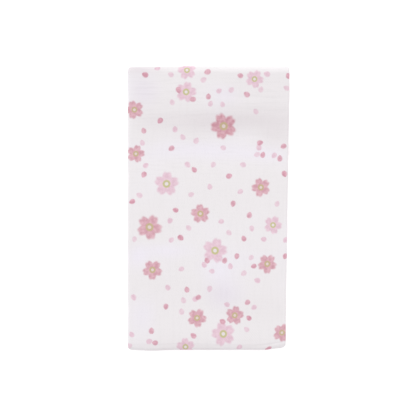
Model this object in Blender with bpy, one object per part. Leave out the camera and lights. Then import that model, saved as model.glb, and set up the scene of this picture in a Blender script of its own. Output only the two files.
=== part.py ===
# A printed cotton towel, folded in three across its width and then in half twice along its length.
# It lies on a flat surface with its unbroken face up. Metres, +Z up: the origin is the middle of the
# underside, +X runs across the folded width and +Y along the folded length.
#
# The cloth is one piece with a hem at each end. Folding it is two walks. The walk across goes from one
# selvedge to the other and makes a strip of three plies. The walk along carries that strip from one hem
# to the other and makes a stack of four strips. The solid is the first walk swept along the second.

import math

import bmesh
import bpy

# The folded towel
FOLDED_WIDTH = 0.1143
FOLDED_LENGTH = 0.2017
CLOTH_THICKNESS = 0.0011
PLY_GAP = 0.00035

# The hem at each end, and the bare ends of the cloth
HEM_WIDTH = 0.0070
HEM_RISE = 0.00008
HEM_SLOPE = 0.0008
END_ROUNDING = 0.0003
END_SHARE = 0.5
HEM_SETBACK_UNDER = 0.0016
HEM_SETBACK_INSIDE = 0.0024

# The selvedges: one is tucked into the wide fold, the other lies free beside the narrow fold
TUCKED_CLEARANCE = 0.0006
FREE_SETBACK = 0.0013
FREE_WANDER = 0.0008
FREE_WAVES = 7.0

# The roundness of the outermost fold, which wraps the whole stack
OUTER_CORNER_RADIUS = 0.0040

# The outline seen from above
RIGHT_EDGE_TAPER = 0.0028
TAPER_LENGTH = 0.1750
LOWER_RIGHT_RISE = 0.0013
LOWER_RIGHT_REACH = 0.0150
LOWER_BELLY = 0.0006
BELLY_MIDDLE = -0.0410
BELLY_REACH = 0.0170
UPPER_LEFT_DROP = 0.0004
UPPER_CORNER_RADIUS = 0.0018
LOWER_LEFT_RADIUS = 0.0014
LOWER_RIGHT_RADIUS = 0.0032

# How many flat steps each stretch of cloth takes
WIDTH_STEPS = 9
LENGTH_STEPS = 10
END_CROWDING = 0.7
NARROW_FOLD_STEPS = 4
WIDE_FOLD_STEPS = 6
STRIP_FOLD_STEPS = 6
CORNER_STEPS = 3

PLY_PITCH = CLOTH_THICKNESS + PLY_GAP
STRIP_THICKNESS = 3 * CLOTH_THICKNESS + 2 * PLY_GAP
STRIP_PITCH = STRIP_THICKNESS + PLY_GAP
STACK_HEIGHT = 4 * STRIP_THICKNESS + 3 * PLY_GAP
HALF_WIDTH = FOLDED_WIDTH / 2
HALF_LENGTH = FOLDED_LENGTH / 2

# Soft troughs and ridges of the upper face: middle, reach each way, turn, and lift where it is greatest
CREASES = (
    # x, y, reach along x, reach along y, turn in degrees, lift
    (0.010, 0.046, 0.0700, 0.0170, 3, -0.0016),
    (0.034, 0.057, 0.0340, 0.0080, -5, -0.0005),
    (-0.024, 0.082, 0.0500, 0.0100, 4, 0.0004),
    (0.030, 0.090, 0.0300, 0.0050, -3, -0.0003),
    (-0.020, -0.052, 0.0130, 0.0500, 12, -0.0006),
    (0.028, -0.064, 0.0400, 0.0110, -14, 0.0005),
    (0.036, 0.000, 0.0120, 0.0340, 6, 0.0004),
    (0.000, -0.097, 0.0700, 0.0070, 0, -0.0006),
)


def crowded(share):
    """A share of a run, moved so that places crowd towards the folds at its two ends."""
    return (1 - END_CROWDING) * share + END_CROWDING * (1 - math.cos(math.pi * share)) / 2


def walk(start, heading, rows):
    """Follows rows of (name, turn, size, steps, ...): a run of that length where turn is 0, else an arc
    of that radius. Returns one list for each row, of places as (across, up, heading)."""
    across, up = start
    stretches = []
    for _name, turn, size, steps, *_rest in rows:
        stretch = []
        for step in range(1, steps + 1):
            share = step / steps
            if turn == 0:
                share = crowded(share)
                place = (
                    across + size * share * math.cos(heading),
                    up + size * share * math.sin(heading),
                    heading,
                )
            else:
                side = math.copysign(1, turn)
                middle_across = across - side * size * math.sin(heading)
                middle_up = up + side * size * math.cos(heading)
                turned = heading + math.radians(turn) * share
                place = (
                    middle_across + side * size * math.sin(turned),
                    middle_up - side * size * math.cos(turned),
                    turned,
                )
            stretch.append(place)
        across, up, heading = stretch[-1]
        stretches.append(stretch)
    return stretches


def eased(share):
    """0 to 1 with a level start and end."""
    share = min(max(share, 0), 1)
    return share * share * (3 - 2 * share)


def walk_across():
    """The three plies of a strip, from the tucked selvedge to the free one, as (x, out, heading, slide).
    Out is the way the printed face looks; slide is how far a place follows the wandering selvedge."""
    wide_middle = -HALF_WIDTH + PLY_PITCH + CLOTH_THICKNESS / 2
    narrow_middle = HALF_WIDTH - PLY_PITCH / 2 - CLOTH_THICKNESS / 2
    tucked_end = wide_middle + TUCKED_CLEARANCE
    free_end = HALF_WIDTH - FREE_SETBACK
    rows = (
        ("tucked third", 0, narrow_middle - tucked_end, WIDTH_STEPS),
        ("narrow fold", 180, PLY_PITCH / 2, NARROW_FOLD_STEPS),
        ("face third", 0, narrow_middle - wide_middle, WIDTH_STEPS),
        ("wide fold", 180, PLY_PITCH, WIDE_FOLD_STEPS),
        ("inner third", 0, free_end - wide_middle, WIDTH_STEPS),
    )
    places = [(tucked_end, 0.0, 0.0, 0.0)]
    for row, stretch in zip(rows, walk((tucked_end, 0.0), 0.0, rows)):
        for count, (x, out, heading) in enumerate(stretch, start=1):
            slide = (count / len(stretch)) ** 2 if row[0] == "inner third" else 0.0
            places.append((x, out, heading, slide))
    return places


def walk_along():
    """The four strips of the stack, from the hem underneath to the hem inside, as (y, z, heading, shift,
    width share, distance from the start). Each strip lies a little off the others and is its own width."""
    outer_middle = HALF_LENGTH - OUTER_CORNER_RADIUS - STRIP_THICKNESS / 2
    outer_back = 3 * STRIP_PITCH - 2 * OUTER_CORNER_RADIUS
    inner_middle = outer_middle + OUTER_CORNER_RADIUS - STRIP_PITCH - STRIP_PITCH / 2
    first_middle = -HALF_LENGTH + STRIP_PITCH / 2 + STRIP_THICKNESS / 2
    under_start = -HALF_LENGTH + HEM_SETBACK_UNDER
    inside_end = -HALF_LENGTH + HEM_SETBACK_INSIDE
    rows = (
        # name, turn, run length or radius, steps, sideways shift at its end, width share at its end
        ("under strip", 0, outer_middle - under_start, LENGTH_STEPS, -0.0001, 0.990),
        ("outer fold, lower corner", 90, OUTER_CORNER_RADIUS, CORNER_STEPS, -0.0001, 0.993),
        ("outer fold, back", 0, outer_back, 2, 0.0, 0.996),
        ("outer fold, upper corner", 90, OUTER_CORNER_RADIUS, CORNER_STEPS, 0.0, 1.0),
        ("face strip", 0, outer_middle - first_middle, LENGTH_STEPS, 0.0, 1.0),
        ("first fold", 180, STRIP_PITCH / 2, STRIP_FOLD_STEPS, -0.0003, 0.994),
        ("third strip", 0, inner_middle - first_middle, LENGTH_STEPS, -0.0004, 0.988),
        ("inner fold", -180, STRIP_PITCH / 2, STRIP_FOLD_STEPS, 0.0002, 0.984),
        ("second strip", 0, inner_middle - inside_end, LENGTH_STEPS, 0.0004, 0.984),
    )
    start = (under_start, STRIP_THICKNESS / 2)
    shift, share, distance = -0.0003, 0.988, 0.0
    places = [(*start, 0.0, shift, share, distance)]
    for row, stretch in zip(rows, walk(start, 0.0, rows)):
        _name, turn, size, steps, end_shift, end_share = row
        length = size if turn == 0 else size * math.radians(abs(turn))
        for count, (y, z, heading) in enumerate(stretch, start=1):
            mix = eased(count / steps)
            places.append((
                y,
                z,
                heading,
                shift + (end_shift - shift) * mix,
                share + (end_share - share) * mix,
                distance + length * (crowded(count / steps) if turn == 0 else count / steps),
            ))
        shift, share, distance = end_shift, end_share, distance + length
    return places


def with_hems(places):
    """Adds the places that a hem's inner edge and a rounded end need, and gives each its half thickness."""
    total = places[-1][5]
    half = CLOTH_THICKNESS / 2
    marks = (
        # distance from the end, half thickness there
        (0.0, half * END_SHARE),
        (END_ROUNDING, half + HEM_RISE),
        (HEM_WIDTH - HEM_SLOPE, half + HEM_RISE),
        (HEM_WIDTH, half),
    )
    last_mark = marks[-1][0]
    stations = [
        (place, half)
        for place in places
        if last_mark < place[5] < total - last_mark
    ]
    first, last = places[0], places[-1]
    for distance, thickness in marks:
        # The hem underneath lies up by its extra thickness, level with the rest of the underside
        lying = first[1] + max(thickness - half, 0)
        stations.append(((first[0] + distance, lying, *first[2:5], distance), thickness))
        stations.append(((last[0] + distance, *last[1:5], total - distance), thickness))
    return sorted(stations, key=lambda station: station[0][5])


def crease_lift(x, y):
    """How far the creases lift the upper face at a place, or lower it."""
    lift = 0.0
    for middle_x, middle_y, reach_x, reach_y, turn, height in CREASES:
        angle = math.radians(turn)
        along = (x - middle_x) * math.cos(angle) + (y - middle_y) * math.sin(angle)
        over = (y - middle_y) * math.cos(angle) - (x - middle_x) * math.sin(angle)
        lift += height * math.exp(-((along / reach_x) ** 2) - (over / reach_y) ** 2)
    return lift


def corner_cut(reach, radius):
    """How far a rounded corner pulls an edge in, this far short of the corner's tip."""
    inside = max(radius - reach, 0)
    return radius - math.sqrt(max(radius * radius - inside * inside, 0))


def right_edge(y):
    """The half width on the right, which tapers towards the lower end."""
    taper = RIGHT_EDGE_TAPER * min((HALF_LENGTH - y) / TAPER_LENGTH, 1)
    radius = UPPER_CORNER_RADIUS if y > 0 else LOWER_RIGHT_RADIUS
    return HALF_WIDTH - taper - corner_cut(HALF_LENGTH - abs(y), radius)


def left_edge(y):
    """The half width on the left."""
    radius = UPPER_CORNER_RADIUS if y > 0 else LOWER_LEFT_RADIUS
    return HALF_WIDTH - corner_cut(HALF_LENGTH - abs(y), radius)


def lower_edge(x):
    """The half length towards the lower end: a slight belly, and a rise towards the right corner."""
    belly = LOWER_BELLY * (1 - eased(abs(x - BELLY_MIDDLE) / BELLY_REACH))
    rise = LOWER_RIGHT_RISE * eased(1 - (HALF_WIDTH - x) / LOWER_RIGHT_REACH)
    return HALF_LENGTH - LOWER_BELLY + belly - rise


def upper_edge(x):
    """The half length towards the upper end, a little lower at the left."""
    return HALF_LENGTH - UPPER_LEFT_DROP * eased(-x / HALF_WIDTH)


def settled(x, y, z):
    """Where a place of the neatly folded towel comes to lie on the real, uneven one."""
    x_edge = right_edge(y) if x > 0 else left_edge(y)
    y_edge = upper_edge(x) if y > 0 else lower_edge(x)
    lift = crease_lift(x, y) * eased(z / STACK_HEIGHT)
    return (x * x_edge / HALF_WIDTH, y * y_edge / HALF_LENGTH, z + lift)


def outline_across(across, half_thickness):
    """The outline of a strip's plies with this half thickness, as (x, out, slide), all the way round."""
    outer_side, inner_side = [], []
    for x, out, heading, slide in across:
        step_x = half_thickness * math.sin(heading)
        step_out = half_thickness * math.cos(heading)
        outer_side.append((x - step_x, out + step_out, slide))
        inner_side.append((x + step_x, out - step_out, slide))
    tips = []
    for (x, out, heading, slide), way in ((across[0], -1), (across[-1], 1)):
        reach = way * half_thickness * END_SHARE
        tips.append((x + reach * math.cos(heading), out + reach * math.sin(heading), slide))
    return outer_side + [tips[1]] + inner_side[::-1] + [tips[0]]


def cloth_points():
    """The rings of points, one for each station along the towel."""
    across = walk_across()
    rings = []
    for (y, z, heading, shift, share, distance), half_thickness in with_hems(walk_along()):
        wander = FREE_WANDER * math.sin(FREE_WAVES * math.pi * distance / FOLDED_LENGTH / 2)
        ring = []
        for x, out, slide in outline_across(across, half_thickness):
            ring.append(
                settled(
                    (x + wander * slide) * share + shift,
                    y + out * math.sin(heading),
                    z - out * math.cos(heading),
                )
            )
        rings.append(ring)
    return rings


def close_end(mesh, ring, plies):
    """Closes the cut end of the cloth, with a face between each two neighbouring places of the walk."""
    last = len(ring) - 1
    for count in range(plies - 1):
        mesh.faces.new((ring[count], ring[count + 1], ring[last - 2 - count], ring[last - 1 - count]))
    mesh.faces.new((ring[last], ring[0], ring[last - 1]))
    mesh.faces.new((ring[plies - 1], ring[plies], ring[plies + 1]))


def centred(rings):
    """The same rings, with the middle of the underside at the origin."""
    points = [point for ring in rings for point in ring]
    middle = [(min(p[axis] for p in points) + max(p[axis] for p in points)) / 2 for axis in (0, 1)]
    floor = min(p[2] for p in points)
    return [[(x - middle[0], y - middle[1], z - floor) for x, y, z in ring] for ring in rings]


def cloth_material():
    material = bpy.data.materials.new("printed_gauze")
    material.use_nodes = True
    finish = material.node_tree.nodes["Principled BSDF"]
    finish.inputs["Base Color"].default_value = (0.84, 0.80, 0.83, 1.0)
    finish.inputs["Roughness"].default_value = 0.92
    finish.inputs["Metallic"].default_value = 0.0
    return material


def make_towel():
    rings = centred(cloth_points())
    mesh = bmesh.new()
    verts = [[mesh.verts.new(point) for point in ring] for ring in rings]
    size = len(verts[0])
    for ring, following in zip(verts, verts[1:]):
        for count in range(size):
            after = (count + 1) % size
            mesh.faces.new((ring[count], ring[after], following[after], following[count]))
    plies = (size - 2) // 2
    close_end(mesh, verts[0], plies)
    close_end(mesh, verts[-1], plies)
    bmesh.ops.recalc_face_normals(mesh, faces=mesh.faces)
    data = bpy.data.meshes.new("towel")
    mesh.to_mesh(data)
    mesh.free()
    data.materials.append(cloth_material())
    data.shade_smooth()
    data.set_sharp_from_angle(angle=math.radians(50))
    towel = bpy.data.objects.new("towel", data)
    bpy.context.scene.collection.objects.link(towel)
    return towel


for old in list(bpy.data.objects):
    bpy.data.objects.remove(old)
make_towel()
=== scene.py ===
# %% [markdown]
# A folded towel of printed cotton gauze.
# The real towel is taken to be one cut length of soft gauze, 34 by 80 cm, with a narrow hem at each end. It
# is folded in three across its width and then in half twice along its length, so twelve plies lie in a flat
# stack.
# The lesson works in the same order as the maker: weave and cut the cloth flat, print it, sew the hems, fold
# it, and let it settle. A shape drawn folded from the start would leave a guess at how the print runs round
# each fold.

# %% Load the frame
import math

import bpy
import numpy as np
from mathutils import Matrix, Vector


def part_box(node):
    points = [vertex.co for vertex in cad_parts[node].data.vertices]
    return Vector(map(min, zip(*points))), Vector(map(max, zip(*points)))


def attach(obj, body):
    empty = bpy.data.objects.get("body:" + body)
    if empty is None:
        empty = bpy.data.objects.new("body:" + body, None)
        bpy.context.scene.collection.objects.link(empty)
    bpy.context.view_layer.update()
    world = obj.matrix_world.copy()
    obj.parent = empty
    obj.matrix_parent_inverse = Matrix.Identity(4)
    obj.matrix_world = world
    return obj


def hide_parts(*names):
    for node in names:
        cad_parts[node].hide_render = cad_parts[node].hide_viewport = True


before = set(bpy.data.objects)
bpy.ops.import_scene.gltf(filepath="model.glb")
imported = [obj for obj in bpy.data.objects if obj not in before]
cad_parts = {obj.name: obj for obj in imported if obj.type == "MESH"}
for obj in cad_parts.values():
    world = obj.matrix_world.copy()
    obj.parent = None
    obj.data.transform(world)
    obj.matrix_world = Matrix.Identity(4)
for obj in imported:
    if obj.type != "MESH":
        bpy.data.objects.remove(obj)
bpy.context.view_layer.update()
CAD_LOW, CAD_HIGH = (np.array(corner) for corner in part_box("towel"))
print("the folded towel measures", [round(float(side), 4) for side in CAD_HIGH - CAD_LOW])

# %% [markdown]
# The driving sizes come first, in metres, and later cells add the few that they need.
# Twelve plies of 1.1 mm with a little air between them make a stack about 17 mm high.

# %% The towel's sizes
FOLDED_WIDTH = 0.1143
FOLDED_LENGTH = 0.2017
CLOTH_THICKNESS = 0.0011
PLY_GAP = 0.00035
HEM_WIDTH = 0.0070
HEM_RISE = 0.00008

HALF_WIDTH = FOLDED_WIDTH / 2
HALF_LENGTH = FOLDED_LENGTH / 2
HALF_CLOTH = CLOTH_THICKNESS / 2
PLY_PITCH = CLOTH_THICKNESS + PLY_GAP
STRIP_THICKNESS = 3 * CLOTH_THICKNESS + 2 * PLY_GAP
STRIP_PITCH = STRIP_THICKNESS + PLY_GAP
STACK_HEIGHT = 4 * STRIP_THICKNESS + 3 * PLY_GAP
print("twelve plies stack up to", round(STACK_HEIGHT, 5))

# %% [markdown]
# Folding is two walks. One goes across the cloth and turns twice, which folds it in three. The other goes
# along the strip of three plies and turns three times, which folds that in half twice.
# Each walk is a short table of straight runs and round turns, with a row for each, so a fold can be made
# fuller or tighter by changing one number.

# %% Walk along a table of runs and turns
END_CROWDING = 0.7


def eased(share):
    """0 to 1 with a level start and end."""
    share = np.clip(share, 0, 1)
    return share * share * (3 - 2 * share)


def crowded(share):
    """A share of a run, moved so that places crowd towards the folds at its two ends."""
    return (1 - END_CROWDING) * share + END_CROWDING * (1 - np.cos(np.pi * share)) / 2


def walk(start, rows):
    """Follows rows of (turn in degrees, length or radius, steps) from a start with heading 0.
    Gives the places as an array of (across, up, heading), and the row that each belongs to."""
    places, owners = [(*start, 0.0)], [0]
    for owner, (turn, size, steps) in enumerate(rows):
        across, up, heading = places[-1]
        for share in np.arange(1, steps + 1) / steps:
            if turn == 0:
                run = size * crowded(share)
                places.append((across + run * math.cos(heading), up + run * math.sin(heading), heading))
            else:
                radius = math.copysign(size, turn)
                turned = heading + math.radians(turn) * share
                places.append((
                    across + radius * (math.sin(turned) - math.sin(heading)),
                    up - radius * (math.cos(turned) - math.cos(heading)),
                    turned,
                ))
            owners.append(owner)
    return np.array(places), np.array(owners)


def lengths_of(places):
    """How far along the walk each place lies."""
    steps = np.hypot(*np.diff(places[:, :2], axis=0).T)
    return np.concatenate([[0.0], np.cumsum(steps)])


# %% The walk across, which folds the cloth in three
TUCKED_CLEARANCE = 0.0006
FREE_SETBACK = 0.0013
WIDE_MIDDLE = -HALF_WIDTH + PLY_PITCH + HALF_CLOTH
NARROW_MIDDLE = HALF_WIDTH - PLY_PITCH / 2 - HALF_CLOTH
TUCKED_END = WIDE_MIDDLE + TUCKED_CLEARANCE
FREE_END = HALF_WIDTH - FREE_SETBACK
FACE_THIRD, WIDE_FOLD = 2, 3  # rows of the table below, counted from 0

across_rows = (
    # turn, length or radius, steps
    (0, NARROW_MIDDLE - TUCKED_END, 18),
    (180, PLY_PITCH / 2, 10),
    (0, NARROW_MIDDLE - WIDE_MIDDLE, 72),
    (180, PLY_PITCH, 12),
    (0, FREE_END - WIDE_MIDDLE, 18),
)
across_places, across_owners = walk((TUCKED_END, 0.0), across_rows)
across_lengths = lengths_of(across_places)
CUT_WIDTH = across_lengths[-1]
print("the cut is", round(float(CUT_WIDTH), 3), "wide")

# %% The walk along, which folds the strip in half twice
OUTER_CORNER_RADIUS = 0.0040
HEM_SETBACK_UNDER = 0.0016
HEM_SETBACK_INSIDE = 0.0024
OUTER_MIDDLE = HALF_LENGTH - OUTER_CORNER_RADIUS - STRIP_THICKNESS / 2
INNER_MIDDLE = OUTER_MIDDLE + OUTER_CORNER_RADIUS - 1.5 * STRIP_PITCH
FIRST_MIDDLE = -HALF_LENGTH + STRIP_PITCH / 2 + STRIP_THICKNESS / 2
UNDER_START = -HALF_LENGTH + HEM_SETBACK_UNDER
INSIDE_END = -HALF_LENGTH + HEM_SETBACK_INSIDE
FACE_STRIP = 4  # a row of the table below, counted from 0

along_rows = (
    # turn, length or radius, steps
    (0, OUTER_MIDDLE - UNDER_START, 34),
    (90, OUTER_CORNER_RADIUS, 9),
    (0, 3 * STRIP_PITCH - 2 * OUTER_CORNER_RADIUS, 4),
    (90, OUTER_CORNER_RADIUS, 9),
    (0, OUTER_MIDDLE - FIRST_MIDDLE, 160),
    (180, STRIP_PITCH / 2, 16),
    (0, INNER_MIDDLE - FIRST_MIDDLE, 34),
    (-180, STRIP_PITCH / 2, 10),
    (0, INNER_MIDDLE - INSIDE_END, 34),
)
along_places, along_owners = walk((UNDER_START, STRIP_THICKNESS / 2), along_rows)
along_lengths = lengths_of(along_places)
CUT_LENGTH = along_lengths[-1]
print("the cut is", round(float(CUT_LENGTH), 3), "long")

# %% [markdown]
# No two strips of a folded towel lie exactly over each other. Each is a little wider or narrower and lies a
# little to one side. A small table gives its shift and its width at the start and wherever a run or a turn
# ends, and the cloth eases from one to the next. A few long waves make its sides and its woven edge wander.

# %% How each strip lies
EDGE_WANDER = 0.00018
EDGE_WAVES = (0.031, 0.047, 0.019)
SELVEDGE_WANDER = 0.0008
SELVEDGE_WAVES = (0.057, 0.083, 0.029)
lie_rows = (
    # sideways shift, share of the full width
    (-0.0003, 0.988),
    (-0.0001, 0.990),
    (-0.0001, 0.993),
    (0.0000, 0.996),
    (0.0000, 1.000),
    (0.0000, 1.000),
    (-0.0003, 0.994),
    (-0.0004, 0.988),
    (0.0002, 0.984),
    (0.0004, 0.984),
)
row_ends = along_lengths[np.searchsorted(along_owners, range(len(along_rows)), side="right") - 1]
knots = np.concatenate([[0.0], row_ends])


def between_knots(lengths, values):
    """Eases from the value at one knot to the value at the next."""
    values = np.array(values)
    before = np.clip(np.searchsorted(knots, lengths, side="right") - 1, 0, len(knots) - 2)
    mix = eased((lengths - knots[before]) / (knots[before + 1] - knots[before]))
    return values[before] + (values[before + 1] - values[before]) * mix


def waves(lengths, sizes):
    """A gentle, uneven wandering of about 1 either way, from a few waves of these lengths."""
    return sum(np.sin(2 * np.pi * lengths / size + count) for count, size in enumerate(sizes)) / len(sizes)


sideways = between_knots(along_lengths, [row[0] for row in lie_rows])
sideways += EDGE_WANDER * waves(along_lengths, EDGE_WAVES)
width_share = between_knots(along_lengths, [row[1] for row in lie_rows])
selvedge_wander = SELVEDGE_WANDER * waves(along_lengths, SELVEDGE_WAVES)
third_share = (across_lengths - across_lengths[across_owners == WIDE_FOLD][-1]) / (FREE_END - WIDE_MIDDLE)
follows_selvedge = np.clip(third_share, 0, 1) ** 2
print("the strips lie up to", round(float(abs(sideways).max()), 5), "to one side")

# %% [markdown]
# A neatly folded stack looks drawn with a ruler. The real one has settled: it narrows a little towards the
# lower end, its lower right corner is drawn up, and soft troughs and ridges cross the upper face.
# These are a few sizes and two short tables. They act on all plies together, so the plies never cut through
# each other. The troughs and ridges alone fade towards the surface underneath.

# %% How the folded towel settles
RIGHT_EDGE_TAPER = 0.0028
TAPER_LENGTH = 0.1750
LOWER_RIGHT_RISE = 0.0013
LOWER_RIGHT_REACH = 0.0150
LOWER_BELLY = 0.0006
BELLY_MIDDLE = -0.0410
BELLY_REACH = 0.0170
UPPER_LEFT_DROP = 0.0004
UPPER_CORNER_RADIUS = 0.0018
LOWER_LEFT_RADIUS = 0.0014
LOWER_RIGHT_RADIUS = 0.0032
CORRECTIONS = 4

creases = (
    # x, y, reach along x, reach along y, turn in degrees, lift
    (0.010, 0.046, 0.0700, 0.0170, 3, -0.0016),
    (0.034, 0.057, 0.0340, 0.0080, -5, -0.0005),
    (-0.024, 0.082, 0.0500, 0.0100, 4, 0.0004),
    (0.030, 0.090, 0.0300, 0.0050, -3, -0.0003),
    (-0.020, -0.052, 0.0130, 0.0500, 12, -0.0006),
    (0.028, -0.064, 0.0400, 0.0110, -14, 0.0005),
    (0.036, 0.000, 0.0120, 0.0340, 6, 0.0004),
    (0.000, -0.097, 0.0700, 0.0070, 0, -0.0006),
)
fine_creases = (
    # the same, for the finest lines, which the plain solid of the frame leaves out
    (-0.010, -0.0979, 0.0480, 0.0006, 0.0, -0.00060),
    (-0.030, -0.0966, 0.0300, 0.0005, 0.4, -0.00035),
    (0.044, -0.0968, 0.0120, 0.0006, 4.0, -0.00050),
    (0.036, 0.0690, 0.0300, 0.0018, -3.0, -0.00025),
    (0.040, 0.0500, 0.0200, 0.0016, -5.0, -0.00030),
    (-0.016, 0.0640, 0.0280, 0.0017, 3.0, -0.00020),
    (0.030, 0.0780, 0.0360, 0.0018, -2.0, -0.00020),
)


def crease_lift(x, y):
    """How far the creases lift the upper face, or lower it."""
    lift = np.zeros_like(x)
    for middle_x, middle_y, reach_x, reach_y, turn, height in (*creases, *fine_creases):
        angle = math.radians(turn)
        along = (x - middle_x) * math.cos(angle) + (y - middle_y) * math.sin(angle)
        over = (y - middle_y) * math.cos(angle) - (x - middle_x) * math.sin(angle)
        lift += height * np.exp(-((along / reach_x) ** 2) - (over / reach_y) ** 2)
    return lift


def corner_cut(reach, radius):
    """How far a rounded corner pulls an edge in, this far short of the corner's tip."""
    inside = np.maximum(radius - reach, 0)
    return radius - np.sqrt(np.maximum(radius**2 - inside**2, 0))


def side_edge(x, y):
    """The half width at a place: rounded at the corners, and tapering on the right towards the lower end."""
    lower_radius = np.where(x > 0, LOWER_RIGHT_RADIUS, LOWER_LEFT_RADIUS)
    radius = np.where(y > 0, UPPER_CORNER_RADIUS, lower_radius)
    taper = RIGHT_EDGE_TAPER * np.minimum((HALF_LENGTH - y) / TAPER_LENGTH, 1)
    return HALF_WIDTH - np.where(x > 0, taper, 0) - corner_cut(HALF_LENGTH - abs(y), radius)


def end_edge(x, y):
    """The half length at a place: a slight belly and a drawn-up corner below, and a lower left above."""
    belly = LOWER_BELLY * (1 - eased(abs(x - BELLY_MIDDLE) / BELLY_REACH))
    rise = LOWER_RIGHT_RISE * eased(1 - (HALF_WIDTH - x) / LOWER_RIGHT_REACH)
    upper = HALF_LENGTH - UPPER_LEFT_DROP * eased(-x / HALF_WIDTH)
    return np.where(y > 0, upper, HALF_LENGTH - LOWER_BELLY + belly - rise)


def drawn_in(x, y):
    """Where the settling moves a place, seen from above."""
    return x * side_edge(x, y) / HALF_WIDTH, y * end_edge(x, y) / HALF_LENGTH


def before_settling(x, y):
    """The place that settles into this one, found by correcting a guess a few times."""
    guess_x, guess_y = x, y
    for _ in range(CORRECTIONS):
        now_x, now_y = drawn_in(guess_x, guess_y)
        guess_x, guess_y = guess_x + x - now_x, guess_y + y - now_y
    return guess_x, guess_y


def settled(points):
    """Where the settling takes each point: in from the sides, and up or down with the creases."""
    x, y, z = points.T
    lift = crease_lift(x, y) * eased(z / STACK_HEIGHT)
    return np.stack([*drawn_in(x, y), z + lift], axis=1)


lower_right = drawn_in(np.array(HALF_WIDTH), np.array(-HALF_LENGTH))
print("the lower right corner settles to", [round(float(side), 4) for side in lower_right])

# %% [markdown]
# The cloth is laid out flat first, as a thin slab with a grid of faces on its printed side and on its
# reverse. Rows and columns crowd where folds will come, and near the edges they thin the cloth so that a cut
# edge looks round. The slab's own thickness becomes the cloth's thickness when it is folded.

# %% Lay the cloth out flat
SELVEDGE_MARKS = ((0.0, 0.42), (0.00018, 0.80), (0.00045, 1.0))  # distance from the edge, share of thickness
MARK_CLEARANCE = 1.3
HEM_SLOPE = 0.0008


def with_marks(lengths, marks):
    """Adds a line at each mark's distance from both ends, and drops the old lines close to them."""
    total = lengths[-1]
    added = [mark for mark in marks if mark > 0]
    clear = max(added) * MARK_CLEARANCE
    kept = lengths[(lengths > clear) & (lengths < total - clear)]
    return np.sort(np.concatenate([[0.0, total], kept, added, [total - mark for mark in added]]))


columns = with_marks(across_lengths, [mark[0] for mark in SELVEDGE_MARKS])
rows = with_marks(along_lengths, [*(mark[0] for mark in SELVEDGE_MARKS), HEM_WIDTH - HEM_SLOPE, HEM_WIDTH])


def edge_share(lines):
    """How much of the full thickness the cloth has at each line, less near its two ends."""
    reach = np.minimum(lines, lines[-1] - lines)
    return np.interp(reach, [mark[0] for mark in SELVEDGE_MARKS], [mark[1] for mark in SELVEDGE_MARKS])


hem_reach = np.minimum(rows, rows[-1] - rows)
hem_rise = HEM_RISE * np.interp(hem_reach, [HEM_WIDTH - HEM_SLOPE, HEM_WIDTH], [1.0, 0.0])
half_thickness = HALF_CLOTH * np.minimum(edge_share(rows)[:, None], edge_share(columns)[None, :])
half_thickness += hem_rise[:, None] * (edge_share(columns)[None, :] == 1)
flat_s, flat_t = np.meshgrid(columns, rows)
print("the flat cloth has", len(columns), "columns and", len(rows), "rows")

# %% [markdown]
# The cloth is printed while it lies flat, so the print has to be placed on the flat cloth. The outer ply of
# a strip travels further round a fold than the strip's middle does, so a printed place isn't only the
# distance along the strip: the outer ply's distance from that middle, times the angle turned, is added.
# Measured so, the printed place of any point on the upper face is simply where it lies on the folded towel
# before it settles. The plies inside get the same addition, because their print hardly shows.

# %% Where each point of the cloth lies on the print
along_heading = np.interp(rows, along_lengths, along_places[:, 2])
face_middle_s = np.interp(0.0, -across_places[across_owners == FACE_THIRD, 0],
                          across_lengths[across_owners == FACE_THIRD])
face_middle_t = np.interp(0.0, -along_places[along_owners == FACE_STRIP, 0],
                          along_lengths[along_owners == FACE_STRIP])
print_x = face_middle_s - flat_s
print_y = face_middle_t - flat_t + PLY_PITCH * (math.pi - along_heading[:, None])
print("the print runs", round(float(np.ptp(print_x)), 3), "by", round(float(np.ptp(print_y)), 3))

# %% [markdown]
# The print is cherry blossom: open five-petalled flowers and loose petals, in rose and in pale lilac pink.
# Their places and widths were first read to half a millimetre, as they lie on the settled towel, and their
# turns too. About four in ten were then corrected, after measuring how far the render's motif lay from the
# photo's. The last rows of each table, across the middle of the face, are invented in the same style. The
# print is taken to repeat every 17 by 26 cm, and a fixed random scatter fills the part of a repeat that
# never shows on the upper face.

# %% The chart of blossoms and loose petals
REPEAT_WIDTH, REPEAT_LENGTH = 0.170, 0.260
DEEP_ROSE, ROSE, PALE = 1.18, 1.0, 0.0
ROSE_PETAL_REACH, PALE_PETAL_REACH = 2.50, 2.45
LEAST_REACH, MOST_REACH = 0.94, 1.08
CHART_MIDDLE = (0.00015, 0.00015)

blossom_chart = (
    # x, y, width across, turn of one petal in degrees, colour; millimetres
    (-15.5, 97.0, 12.5, 30, PALE),
    (-16.2, 81.7, 14.0, 4, PALE),
    (32.2, 90.8, 12.2, 64, PALE),
    (-52.5, 69.2, 12.5, 38, ROSE),
    (10.3, 57.7, 17.8, 40, DEEP_ROSE),
    (-51.5, 38.2, 12.0, 4, ROSE),
    (4.2, -30.0, 17.0, 4, PALE),
    (-39.8, -43.6, 13.4, 52, ROSE),
    (41.0, -39.4, 13.3, 54, ROSE),
    (-8.5, -77.5, 12.9, 63, ROSE),
    (18.0, -75.6, 12.9, 8, ROSE),
    (10.1, -88.7, 16.7, 32, PALE),
    (51.4, -87.8, 12.5, 63, ROSE),
    (-16.5, -97.9, 12.3, 23, PALE),
    (-30.0, 17.0, 16.5, 15, PALE),
    (36.5, 14.5, 13.0, 40, ROSE),
    (-6.0, -4.0, 13.0, 24, ROSE),
    (45.0, -12.0, 12.5, 66, PALE),
    (-42.0, -13.5, 17.0, 62, ROSE),
)
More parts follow.
